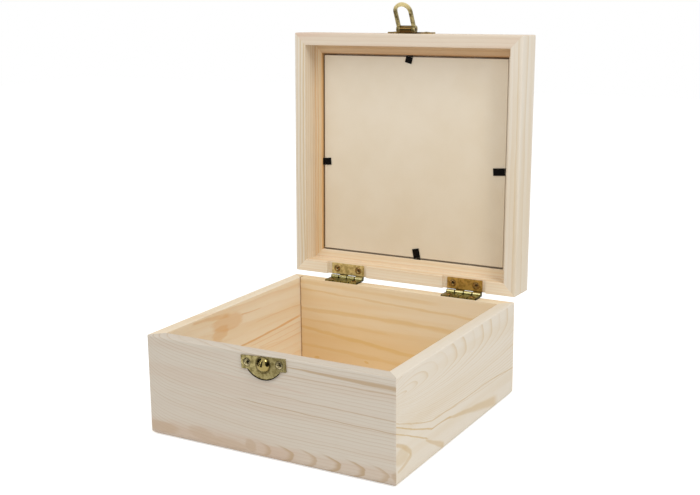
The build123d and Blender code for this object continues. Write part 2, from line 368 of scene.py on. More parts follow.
@dataclass(frozen=True)
class Patch:
    """A soft-edged spot on a board, in millimetres from the board's origin."""

    edge: ClassVar[Span] = (0.7, 1.08)
    fray: ClassVar[float] = 0.7
    along: float
    across: float
    half_length: float
    half_width: float
    slant: float = 0.0
    strength: float = 0.6
    shade: Shade = Shade.SUMMER

    def share(self, surface: Surface, u: Field, v: Field, ragged: Field) -> Field:
        """How much of the patch shows at a point.

        Args:
            surface: The material's surface; not used.
            u: Place along the board.
            v: Place across its face.
            ragged: Noise about 0 that breaks up the edge.

        Returns:
            Share of the patch's colour.
        """
        cosine = math.cos(math.radians(self.slant))
        sine = math.sin(math.radians(self.slant))
        du = u - self.along
        dv = v - self.across
        long = (du * cosine + dv * sine) / self.half_length
        wide = (dv * cosine - du * sine) / self.half_width
        reach = (long * long + wide * wide).root() + ragged * self.fray
        return (1 - reach.rise(*self.edge)) * self.strength


@dataclass(frozen=True)
class Streak:
    """A line of darker wood from one point of a board to another, in millimetres."""

    edge: ClassVar[Span] = (0.35, 1.1)
    fade_in: ClassVar[Span] = (-0.02, 0.06)
    fade_out: ClassVar[Span] = (0.9, 1.04)
    start: Span
    end: Span
    sag: float = 0.0
    half_widths: Span = (0.5, 0.5)
    strength: float = 0.7
    shade: Shade = Shade.SUMMER
    fray: float = 1.2

    def share(self, surface: Surface, u: Field, v: Field, ragged: Field) -> Field:
        """How much of the streak shows at a point.

        Args:
            surface: The material's surface; not used.
            u: Place along the board.
            v: Place across its face.
            ragged: Noise about 0 that bends the line.

        Returns:
            Share of the streak's colour.
        """
        run = self.end[0] - self.start[0]
        drop = self.end[1] - self.start[1]
        share = (u - self.start[0]) / run
        line = share * drop + (1 - share) * share * (4 * self.sag) + self.start[1]
        half = share * (self.half_widths[1] - self.half_widths[0]) + self.half_widths[0]
        off = (v - line + ragged * self.fray).size() / half
        ends = share.rise(*self.fade_in) * (1 - share.rise(*self.fade_out))
        return (1 - off.rise(*self.edge)) * ends * self.strength


@dataclass(frozen=True)
class Scallops:
    """A row of shallow arcs where the saw ran nearly along the rings, in millimetres."""

    darkens: ClassVar[Span] = (0.62, 0.9)
    clears: ClassVar[Span] = (0.94, 1.0)
    edge: ClassVar[Span] = (0.6, 1.1)
    fray: ClassVar[float] = 0.4
    bend: ClassVar[float] = 5.0
    uneven: ClassVar[float] = 0.35
    first: float
    last: float
    pitch: float
    axis: float
    half_height: float
    curve: float
    strength: float = 0.6
    shade: Shade = Shade.SUMMER

    def share(self, surface: Surface, u: Field, v: Field, ragged: Field) -> Field:
        """How much of the arcs shows at a point.

        Args:
            surface: The material's surface.
            u: Place along the board.
            v: Place across its face.
            ragged: Noise about 0 that bends the arcs.

        Returns:
            Share of the arcs' colour.
        """
        dv = v - self.axis
        place = (u + dv * dv * self.curve - self.first + ragged * self.bend) / self.pitch
        index = place.floor()
        phase = place - index
        arc = phase.rise(*self.darkens) * (1 - phase.rise(*self.clears))
        height = dv.size() / self.half_height + ragged * self.fray
        inside = (1 - height.rise(*self.edge)) * u.rise(self.first - self.pitch, self.first)
        inside = inside * (1 - u.rise(self.last, self.last + self.pitch))
        depth = surface.chance(index) * self.uneven + (1 - self.uneven)
        return arc * inside * depth * self.strength


Mark = Patch | Streak | Scallops


@dataclass(frozen=True)
class Grain:
    """Growth rings that lie level in a board, with their waves. Lengths are in millimetres."""

    wave: ClassVar[Span] = (70.0, 26.0)
    quicker: ClassVar[float] = 5.0
    rings_below: ClassVar[float] = 40.0
    ring: float = 2.3
    seed: float = 0.0
    wander: float = 1.2
    ripple: float = 0.35
    lean: float = 0.3

    def waves(self, surface: Surface, u: Field, v: Field, w: Field) -> Field:
        """Slow and quick waves of the rings.

        Args:
            surface: The material's surface.
            u: Place along the board.
            v: Place across its face.
            w: Depth under its face.

        Returns:
            How far the rings are moved, in millimetres.
        """
        length, width = self.wave
        where = surface.vector(u / length + self.seed, v / width, w / width)
        slow = surface.noise(where, 1.0, 1.0) * (2 * self.wander)
        return slow + surface.noise(where, self.quicker, 1.0) * (2 * self.ripple)

    def rings(self, surface: Surface, u: Field, v: Field, w: Field) -> Field:
        """Count the rings up to a point of the board.

        Args:
            surface: The material's surface.
            u: Place along the board.
            v: Place across its face.
            w: Depth under its face.

        Returns:
            The number of rings.
        """
        return (v + w * self.lean + self.waves(surface, u, v, w)) / self.ring + self.rings_below


@dataclass(frozen=True)
class FallingGrain(Grain):
    """Level rings that fall away from the board's start, steeply at its very end."""

    fall_span: ClassVar[Span] = (-0.4, 1.2)
    fall_scale: ClassVar[float] = 1.3
    slope: float = 0.1
    slope_end: float = 80.0
    drop: float = 6.0
    drop_reach: float = 7.0

    def rings(self, surface: Surface, u: Field, v: Field, w: Field) -> Field:
        """Count the rings up to a point of the board.

        Args:
            surface: The material's surface.
            u: Place along the board.
            v: Place across its face.
            w: Depth under its face.

        Returns:
            The number of rings.
        """
        steepest = self.fall_scale * self.slope * self.slope_end
        fall = (1 - (u / self.slope_end).rise(*self.fall_span)) * steepest
        sweep = (u * (-1 / self.drop_reach)).exp() * self.drop
        level = v - fall - sweep + w * self.lean + self.waves(surface, u, v, w)
        return level / self.ring + self.rings_below


@dataclass(frozen=True)
class PithGrain(Grain):
    """Rings round the pith, a line beside the board."""

    pith_across: float = 0.0
    pith_depth: float = 20.0
    climb: float = 0.0

    def rings(self, surface: Surface, u: Field, v: Field, w: Field) -> Field:
        """Count the rings up to a point of the board.

        Args:
            surface: The material's surface.
            u: Place along the board.
            v: Place across its face.
            w: Depth under its face.

        Returns:
            The number of rings.
        """
        waves = self.waves(surface, u, v, w)
        across = v - self.pith_across - u * self.climb + waves
        depth = w + self.pith_depth + waves
        return (across * across + depth * depth).root() / self.ring


@dataclass(frozen=True)
class FanGrain(Grain):
    """Rings that spread like a fan from one end into nested arches, over a calm part with no lines."""

    seam_edge: ClassVar[Span] = (-0.01, 0.01)
    seam: float = 17.5
    seam_lift: float = 20.0
    seam_reach: float = 38.0
    axis: float = 49.0
    axis_climb: float = 0.02
    arch_rings: float = 24.0
    tip_pitch: float = 12.5
    tip_limit: float = 0.8
    upper_share: float = 0.35
    calm_phase: float = 0.3

    def rings(self, surface: Surface, u: Field, v: Field, w: Field) -> Field:
        """Count the rings up to a point of the board.

        Args:
            surface: The material's surface.
            u: Place along the board.
            v: Place across its face.
            w: Depth under its face.

        Returns:
            The number of rings.
        """
        waves = self.waves(surface, u, v, w)
        seam = (u * (-1 / self.seam_reach)).exp() * self.seam_lift + self.seam
        level = v + w * self.lean + waves
        axis = u * self.axis_climb + self.axis
        tips = surface.math("MINIMUM", (u + w) / self.tip_pitch, self.arch_rings * self.tip_limit)
        squared = tips * tips
        scale = (self.arch_rings * self.arch_rings - squared).root() / (axis - seam)
        over = level - axis
        upper = surface.math("MAXIMUM", over, over * self.upper_share)
        rise = (upper * -1 + over * (1 + self.upper_share)) * scale
        arches = (rise * rise + squared).root()
        share = (level - seam).rise(*self.seam_edge)
        return arches * share + (1 - share) * (self.arch_rings + self.calm_phase)


@dataclass(frozen=True)
class Pine:
    """Finish of one bare pine board: rings that run through the whole board, and its marks.

    Cells of streaks, fibres and torn edges are a length and a width in millimetres.
    """

    streak: ClassVar[Span] = (160.0, 9.0)
    fibre: ClassVar[Span] = (11.0, 0.45)
    tear: ClassVar[Span] = (16.0, 3.0)
    ring_end: ClassVar[Span] = (0.9, 1.0)
    least_dark: ClassVar[float] = 0.3
    spread: ClassVar[float] = 0.8
    soft_end: ClassVar[float] = 0.8
    flush_share: ClassVar[Span] = (-0.08, 0.25)
    fibre_dark: ClassVar[Span] = (0.0, 0.4)
    fibre_share: ClassVar[float] = 0.18
    roughness: ClassVar[float] = 0.62
    polish: ClassVar[float] = 0.08
    relief: ClassVar[float] = 0.03
    specular: ClassVar[float] = 0.35
    corner_line_brown: ClassVar[Colour] = srgb(140, 96, 58)
    board: Board
    grain: Grain
    tone: Tone = Tone.CREAM
    contrast: float = 0.7
    flush: float = 0.5
    sharpness: float = 3.0
    marks: tuple[Mark, ...] = ()
    plain_above: float = 1000.0
    marks_depth: float = 1000.0

    def lines(self, surface: Surface, u: Field, v: Field, w: Field) -> Field:
        """How much of the dark summer wood shows at a point.

        Args:
            surface: The material's surface.
            u: Place along the board.
            v: Place across its face.
            w: Depth under its face.

        Returns:
            Share of summer wood, which ends sharply at each ring.
        """
        rings = self.grain.rings(surface, u, v, w)
        index = rings.floor()
        phase = rings - index
        late = (phase**self.sharpness) * (1 - phase.rise(*self.ring_end))
        uneven = late * (surface.chance(index + self.grain.seed) * self.spread + self.least_dark)
        return uneven * (1 - v.rise(self.plain_above - self.soft_end, self.plain_above))

    def material(self, name: str) -> bpy.types.Material:
        """Build the board's material.

        Args:
            name: The material's name.

        Returns:
            The material.
        """
        surface = Surface(name)
        board = self.board
        u, v, w = (surface.along(way, board.origin) for way in (board.along, board.across, board.depth))

        def stretched(cell: Span, start: float) -> Field:
            """Noise in cells of that length and width along the grain."""
            return surface.noise(surface.vector(u / cell[0] + start, v / cell[1], w / cell[1]), 1.0)

        grain = self.lines(surface, u, v, w)
        streaks = stretched(self.streak, self.grain.seed)
        fibres = stretched(self.fibre, 0.0)
        ragged = stretched(self.tear, self.grain.seed)
        early, summer, flush = self.tone.value
        inks = {Shade.SUMMER: summer, Shade.FLUSH: flush, Shade.CORNER_LINE: self.corner_line_brown}
        colour = surface.blend(streaks.rise(*self.flush_share) * self.flush, early, flush)
        colour = surface.blend(grain * self.contrast, colour, summer)
        near = 1 - w.rise(self.marks_depth - 1, self.marks_depth)
        for mark in self.marks:
            colour = surface.blend(mark.share(surface, u, v, ragged) * near, colour, inks[mark.shade])
        values = {
            "Base Color": surface.blend(fibres.rise(*self.fibre_dark) * self.fibre_share, colour, summer),
            "Roughness": grain * -self.polish + self.roughness,
            "Normal": surface.bump(fibres * 0.5 + grain * 0.5, self.relief),
            "Specular IOR Level": self.specular,
        }
        return surface.shade(values)


@dataclass(frozen=True)
class Sheet:
    """Finish of a plain thin upright board: cloudy, darker towards its foot so that its top is painted
    lighter against the top rail's shadow, with painted brown shade along its left, top and bottom edges for
    the dark gap round it.
    """

    node: str
    pale: Colour
    dark: Colour
    gap_shade: Colour
    cloud: float = 22.0
    speck: float = 0.5
    edge: float = 0.55
    least_dark: float = 0.1
    cloud_share: float = 0.25
    speck_share: float = 0.2
    foot_share: float = 0.35
    gap_shade_share: float = 0.85
    gap_shade_core: float = 0.3
    relief: float = 0.02
    roughness: float = 0.7

    def gap_shade_edge(self, surface: Surface) -> Field:
        """How much of the painted shade along the left, top and bottom edges shows at a point.

        Args:
            surface: The material's surface.

        Returns:
            Share of that painted shade.
        """
        low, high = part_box(self.node)
        left = surface.along(RIGHT, low)
        below = surface.along(UP, low)
        above = surface.along(UP, high) * -1
        nearest = surface.math("MINIMUM", surface.math("MINIMUM", left, below), above)
        return 1 - nearest.rise(self.gap_shade_core * self.edge, self.edge)

    def material(self, name: str) -> bpy.types.Material:
        """Build the board's material.

        Args:
            name: The material's name.

        Returns:
            The material.
        """
        surface = Surface(name)
        low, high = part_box(self.node)
        # Darker towards the foot: with the pale colour at the top, this is painted light that offsets the top
        # rail's shadow.
        foot = 1 - surface.along(UP, low).rise(0.0, (high.z - low.z) / MM)
        specks = surface.clouds(self.speck)
        cloudy = surface.clouds(self.cloud, 3.0).rise(-0.3, 0.35) * self.cloud_share
        share = cloudy + specks * self.speck_share + foot * self.foot_share + self.least_dark
        colour = surface.blend(share, self.pale, self.dark)
        # Painted shade along the left, top and bottom edges, for the dark gap between the panel and the
        # rails.
        colour = surface.blend(self.gap_shade_edge(surface) * self.gap_shade_share, colour, self.gap_shade)
        normal = surface.bump(specks + 0.5, self.relief)
        return surface.shade({"Base Color": colour, "Roughness": self.roughness, "Normal": normal})


@dataclass(frozen=True)
class Zone:
    """A ring of other finish on a plate, round an axis along Y, in metres."""

    centre: Span
    inner: float
    outer: float
    colour: Colour
    gloss: float
    strength: float = 1.0
    edge: float = 0.25 * MM
    ceiling: float = 1.0

    def share(self, surface: Surface) -> Field:
        """How much of the zone's finish shows at a point.

        Args:
            surface: The material's surface.

        Returns:
            Share of the zone's finish.
        """
        x = surface.along(RIGHT, (self.centre[0], 0.0, 0.0))
        z = surface.along(UP, (0.0, 0.0, self.centre[1]))
        reach = (x * x + z * z).root()
        near = reach.rise((self.inner - self.edge) / MM, (self.inner + self.edge) / MM)
        far = reach.rise((self.outer - self.edge) / MM, (self.outer + self.edge) / MM)
        top = self.ceiling - self.centre[1]
        over = z.rise(top / MM, (top + self.edge) / MM)
        return near * (1 - far) * (1 - over) * self.strength


def screw_shade_rings(
    spots: Sequence[Spot], radius: float, width: float, colour: Colour, strength: float
) -> tuple[Zone, ...]:
    """Rings of painted shade round screw heads, where each head meets its plate.

    Args:
        spots: Centre and facing of each head.
        radius: Radius of a head.
        width: How far a ring reaches past the head.
        colour: The rings' colour.
        strength: Share of that colour.

    Returns:
        One ring for each head.
    """
    overlap = 0.1 * MM
    gloss = 0.4
    edge = 0.15 * MM
    return tuple(
        Zone((point.x, point.z), radius - overlap, radius + width, colour, gloss, strength, edge)
        for point, facing in spots
    )


@dataclass(frozen=True)
class Band:
    """A straight band of other finish, level or along another direction, in metres."""

    place: float
    half_width: float
    colour: Colour
    gloss: float
    strength: float = 1.0
    way: Triple = UP
    ceiling: float = 1.0
    core: float = 0.6
    fade: float = 1.2
    top_edge: Span = (-0.1, 0.1)

    def share(self, surface: Surface) -> Field:
        """How much of the band's finish shows at a point.

        Args:
            surface: The material's surface.

        Returns:
            Share of the band's finish.
        """
        middle = tuple(part * self.place for part in self.way)
        off = surface.along(self.way, middle).size()
        half = self.half_width / MM
        over = surface.along(UP, (0.0, 0.0, self.ceiling)).rise(*self.top_edge)
        return (1 - off.rise(half * self.core, half * self.fade)) * (1 - over) * self.strength


@dataclass(frozen=True)
class Brass:
    """Finish of brass-plated steel: satin plating with tarnish in clouds."""

    grain: ClassVar[float] = 0.25
    tarnished: ClassVar[Span] = (-0.15, 0.2)
    cloud_share: ClassVar[float] = 0.85
    grain_share: ClassVar[float] = 0.3
    cloud_rough: ClassVar[float] = 0.16
    grain_rough: ClassVar[float] = 0.1
    relief: ClassVar[float] = 0.02
    bright: Colour
    tarnish: Colour
    gloss: float = 0.3
    cloud: float = 2.5
    zones: tuple[Zone | Band, ...] = ()

    def material(self, name: str) -> bpy.types.Material:
        """Build the metal's material.

        Args:
            name: The material's name.

        Returns:
            The material.
        """
        surface = Surface(name)
        clouds = surface.clouds(self.cloud, 4.0, 0.6)
        grains = surface.clouds(self.grain)
        share = clouds.rise(*self.tarnished)
        dull = share * self.cloud_share + grains * self.grain_share
        colour = surface.blend(dull, self.bright, self.tarnish)
        rough = share * self.cloud_rough + grains * self.grain_rough + self.gloss
        for zone in self.zones:
            inside = zone.share(surface)
            colour = surface.blend(inside, colour, zone.colour)
            rough = rough * (1 - inside) + inside * zone.gloss
        normal = surface.bump(clouds * 0.6 + grains * 0.4, self.relief)
        values = {"Base Color": colour, "Metallic": 1.0, "Roughness": rough, "Normal": normal}
        return surface.shade(values)


@dataclass(frozen=True)
class BlackSteel:
    """Finish of blackened spring steel with a faint brown cast."""

    black: Colour = srgb(9, 7, 6)
    worn: Colour = srgb(38, 26, 20)
    scuff: float = 1.2
    worn_share: float = 0.5
    roughness: float = 0.4
    scuff_rough: float = 0.2
    specular: float = 0.1

    def material(self, name: str) -> bpy.types.Material:
        """Build the metal's material.

        Args:
            name: The material's name.

        Returns:
            The material.
        """
        surface = Surface(name)
        scuffs = surface.clouds(self.scuff, 3.0)
        colour = surface.blend(scuffs.rise(0.0, 0.3) * self.worn_share, self.black, self.worn)
        rough = scuffs * self.scuff_rough + self.roughness
        return surface.shade({"Base Color": colour, "Roughness": rough, "Specular IOR Level": self.specular})


@dataclass(frozen=True)
class Glass:
    """Finish of the clear pane, which lets soft light, shadows and the view behind it through."""

    tint: Colour = WHITE
    smear: float = 40.0
    smear_rough: float = 0.03
    index: float = 1.5

    def material(self, name: str) -> bpy.types.Material:
        """Build the pane's material.

        Args:
            name: The material's name.

        Returns:
            The material.
        """
        surface = Surface(name)
        values = {
            "Base Color": self.tint,
            "Roughness": surface.clouds(self.smear).rise(0.0, 0.5) * self.smear_rough,
            "Transmission Weight": 1.0,
            "IOR": self.index,
        }
        solid = surface.node("ShaderNodeBsdfPrincipled", {}, values)
        open_air = surface.node("ShaderNodeBsdfTransparent", {}, {"Color": self.tint})
        rays = surface.node("ShaderNodeLightPath", {}, {}).outputs
        soft = Field(surface, rays["Is Shadow Ray"]) + Field(surface, rays["Is Diffuse Ray"])
        soft = soft + Field(surface, rays["Is Transmission Ray"])
        parts = {0: soft, 1: solid.outputs[0], 2: open_air.outputs[0]}
        return surface.finish(surface.node("ShaderNodeMixShader", {}, parts))


def dress(node: str, material: bpy.types.Material) -> None:
    """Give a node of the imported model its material.

    Args:
        node: The node's name.
        material: The material.
    """
    for slot in frame["nodes"][node].material_slots:
        slot.material = material
    LOG.info("dressed %s with %s", node, material.name)


def add_object(name: str, data: bpy.types.ID) -> bpy.types.Object:
    """Put a new object into the scene, at the origin.

    Args:
        name: The object's name.
        data: Its mesh, lamp or camera.

    Returns:
        The object.
    """
    made = bpy.data.objects.new(name, data)
    bpy.context.scene.collection.objects.link(made)
    return made


class Tree(Nodes):
    """A Geometry Nodes tree with named inputs."""

    def __init__(self, name: str) -> None:
        """Make an empty tree with a geometry input and output.

        Args:
            name: The tree's name.
        """
        super().__init__(bpy.data.node_groups.new(name, "GeometryNodeTree"))
        for way in ("INPUT", "OUTPUT"):
            self.tree.interface.new_socket("Geometry", in_out=way, socket_type="NodeSocketGeometry")
        self.entry = self.tree.nodes.new("NodeGroupInput")

    def ask(self, name: str, kind: str, value: object = None) -> Field:
        """Add a named input.

        Args:
            name: The input's name.
            kind: Its socket type.
            value: Its default, where it has one.

        Returns:
            The input, as seen inside the tree.
        """
        asked = self.tree.interface.new_socket(name, in_out="INPUT", socket_type=kind)
        if value is not None:
            asked.default_value = value
        return Field(self, self.entry.outputs[name])

    def shape(self, kind: str, settings: dict[str, object], values: dict[str | int, object]) -> Socket:
        """Add one node and return its first output, a geometry."""
        return self.node(kind, settings, values).outputs[0]

    def close(self, geometry: Socket) -> None:
        """Send the finished geometry out."""
        self.node("NodeGroupOutput", {}, {0: geometry})

    def plain_mesh(self, name: str, source: bpy.types.Mesh, inputs: dict[str, object]) -> bpy.types.Object:
        """Run the tree on a mesh and keep the result as a plain object.

        Args:
            name: The new object's name.
            source: Mesh that the tree starts from.
            inputs: Values of the tree's named inputs.

        Returns:
            The object, at the origin, with no modifier.
        """
        carrier = add_object(name + "_carrier", source)
        modifier = carrier.modifiers.new("tree", "NODES")
        modifier.node_group = self.tree
        for socket in self.tree.interface.items_tree:
            if socket.in_out == "INPUT" and socket.name in inputs:
                modifier[socket.identifier] = inputs[socket.name]
        evaluated = carrier.evaluated_get(bpy.context.evaluated_depsgraph_get())
        mesh = bpy.data.meshes.new_from_object(evaluated)
        carrier.modifiers.remove(modifier)
        bpy.data.objects.remove(carrier)
        return add_object(name, mesh)


@dataclass
class Screws:
    """Raised-head wood screws with a cross recess, painted near-black inside as shade, set by a Geometry
    Nodes tree.
    """

    blank_cuts: ClassVar[dict[str, object]] = {
        "Vertices": 28,
        "Side Segments": 12,
        "Fill Segments": 5,
        "Radius": 1.0,
        "Depth": 1.0,
    }
    head_radius: float = 2.1 * MM
    crown: float = 0.3 * MM
    sink: float = 0.9 * MM
    shank_radius: float = 1.0 * MM
    length: float = 6.5 * MM
    slot_width: float = 0.95 * MM
    slot_length: float = 3.0 * MM
    slot_depth: float = 0.8 * MM
    tip_start: float = 0.75
    tip_share: float = 0.15
    sharp_angle: float = math.radians(32)
    seed: int = 7
    tree: Tree = field(init=False)
    # Near-black finish of the cross recess: painted shade.
    recess_shade: bpy.types.Material = field(init=False)

    def __post_init__(self) -> None:
        """Build the tree and the recess's near-black finish, which is painted shade, once for every group of
        screws.
        """
        self.tree = self.build_tree()
        # The cross recess takes a near-black brass: painted shade inside the recess.
        self.recess_shade = Brass(srgb(22, 12, 6), srgb(8, 4, 2), 0.6, 1.0).material("brass_recess")

    def sizes(self) -> dict[str, float]:
        """List the sizes that the tree asks for.

        Returns:
            Each size by the name of its input.
        """
        return {
            "Head Radius": self.head_radius,
            "Crown": self.crown,
            "Sink": self.sink,
            "Shank Radius": self.shank_radius,
            "Length": self.length,
            "Slot Width": self.slot_width,
            "Slot Length": self.slot_length,
            "Slot Depth": self.slot_depth,
        }

    def build_tree(self) -> Tree:
        """Build the tree that sets one screw on each vertex, facing along the vertex's facing vector.

        Returns:
            The tree.
        """
        tree = Tree("raised_head_screws")
        asked = {name: tree.ask(name, "NodeSocketFloat", size) for name, size in self.sizes().items()}
        seed = tree.ask("Seed", "NodeSocketInt", self.seed)
        material = tree.ask("Material", "NodeSocketMaterial")
        recess_shade = tree.ask("Recess Material", "NodeSocketMaterial")
        body = tree.shape("GeometryNodeSetMaterial", {}, {0: self.body(tree, asked), "Material": material})
        cross = tree.shape("GeometryNodeSetMaterial", {}, {0: self.cross(tree, asked), "Material": recess_shade})
        cut = tree.shape("GeometryNodeMeshBoolean", {"operation": "DIFFERENCE"}, {0: body, 1: cross})
        real = tree.shape("GeometryNodeRealizeInstances", {}, {0: self.set_out(tree, cut, seed)})
        tree.close(self.soften(tree, real))
        return tree

    def body(self, tree: Tree, asked: dict[str, Field]) -> Socket:
        """Shape a cylinder of unit radius into a countersunk screw, its plate face at height 0.

        Args:
            tree: The tree.
            asked: The tree's sizes.

        Returns:
            The screw's geometry.
        """
        head = asked["Head Radius"]
        length = asked["Length"]
        blank = tree.shape("GeometryNodeMeshCylinder", {"fill_type": "TRIANGLE_FAN"}, self.blank_cuts)
        position = tree.node("GeometryNodeInputPosition", {}, {}).outputs[0]
        parts = tree.node("ShaderNodeSeparateXYZ", {}, {0: position}).outputs
        x, y, z = (Field(tree, part) for part in parts)
        drop = 0.5 - z
        below = drop * length
        cone = below.ramp(0.0, asked["Sink"], head, asked["Shank Radius"])
        radius = cone * below.ramp(length * self.tip_start, length, 1.0, self.tip_share)
        dome = (1.0 - (x * x + y * y)) * asked["Crown"]
        lift = dome * tree.math("LESS_THAN", drop, 0.001)
        moved = tree.vector(x * radius, y * radius, lift - below)
        return tree.shape("GeometryNodeSetPosition", {}, {0: blank, "Position": moved})

    def cross(self, tree: Tree, asked: dict[str, Field]) -> Socket:
        """Make the two crossed bars that cut the recess.

        Args:
            tree: The tree.
            asked: The tree's sizes.

        Returns:
            The bars' geometry, joined.
        """
        size = tree.vector(asked["Slot Length"], asked["Slot Width"], asked["Slot Depth"] * 2.0)
        lift = tree.vector(0.0, 0.0, asked["Crown"])
        join = tree.node("GeometryNodeMeshBoolean", {"operation": "UNION"}, {})
        for turn in (0.0, math.pi / 2):
            bar = tree.shape("GeometryNodeMeshCube", {}, {"Size": size})
            values = {0: bar, "Translation": lift, "Rotation": (0.0, 0.0, turn)}
            tree.link(tree.shape("GeometryNodeTransform", {}, values), join.inputs[1])
        return join.outputs[0]

    def set_out(self, tree: Tree, screw: Socket, seed: Field) -> Socket:
        """Instance the screw on the entry mesh's vertices, each turned by its own chance angle.

        Args:
            tree: The tree.
            screw: The screw's geometry.
            seed: Seed of the angles.

        Returns:
            The instances.
        """
        facing = tree.node("GeometryNodeInputNamedAttribute", {"data_type": "FLOAT_VECTOR"}, {0: "facing"})
        aim = tree.node("FunctionNodeAlignRotationToVector", {"axis": "Z"}, {"Vector": facing.outputs[0]})
        angles = {2: 0.0, 3: math.pi, "Seed": seed}
        turn = tree.node("FunctionNodeRandomValue", {"data_type": "FLOAT"}, angles).outputs[1]
        spin = tree.node("FunctionNodeAxisAngleToRotation", {}, {"Axis": UP, "Angle": turn})
        turns = {0: aim.outputs[0], 1: spin.outputs[0]}
        both = tree.node("FunctionNodeRotateRotation", {"rotation_space": "LOCAL"}, turns)
        values = {"Points": tree.entry.outputs[0], "Instance": screw, "Rotation": both.outputs[0]}
        return tree.shape("GeometryNodeInstanceOnPoints", {}, values)

    def soften(self, tree: Tree, geometry: Socket) -> Socket:
        """Shade smooth, but keep edges sharper than the limit.

        Args:
            tree: The tree.
            geometry: The geometry to shade.

        Returns:
            The shaded geometry.
        """
        angle = tree.node("GeometryNodeInputMeshEdgeAngle", {}, {}).outputs[0]
        sharp = tree.math("GREATER_THAN", angle, self.sharp_angle)
        smooth = tree.shape("GeometryNodeSetShadeSmooth", {}, {0: geometry, "Shade Smooth": True})
        settings = {"data_type": "BOOLEAN", "domain": "EDGE"}
        values = {0: smooth, "Name": "sharp_edge", "Value": sharp}
        return tree.shape("GeometryNodeStoreNamedAttribute", settings, values)

    def make(self, node: str, spots: Sequence[Spot], material: bpy.types.Material) -> None:
        """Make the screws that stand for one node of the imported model.

        Args:
            node: The node's name.
            spots: Centre of each head's plate face, and the way it faces.
            material: The screws' material.
        """
        points = bpy.data.meshes.new(node + "_points")
        points.from_pydata([tuple(point) for point, facing in spots], [], [])
        attribute = points.attributes.new("facing", "FLOAT_VECTOR", "POINT")
        for entry, (point, facing) in zip(attribute.data, spots):
            entry.vector = facing
        chosen = {"Seed": self.seed, "Material": material, "Recess Material": self.recess_shade}
        name = node.replace("_screws", "_cross_head_screws")
        screws = self.tree.plain_mesh(name, points, self.sizes() | chosen)
        keep_piece(screws, frame["nodes"][node]["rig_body"], (node,))


def keep_piece(piece: bpy.types.Object, body: str, nodes: Iterable[str] = ()) -> None:
    """Tie a finished piece to its body and the nodes that it stands for.

    Args:
        piece: The piece, at the origin.
        body: Body that it moves with.
        nodes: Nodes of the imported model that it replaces.
    """
    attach(piece, body)
    if nodes:
        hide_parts(*nodes)
    LOG.info("made %s on %s", piece.name, body)


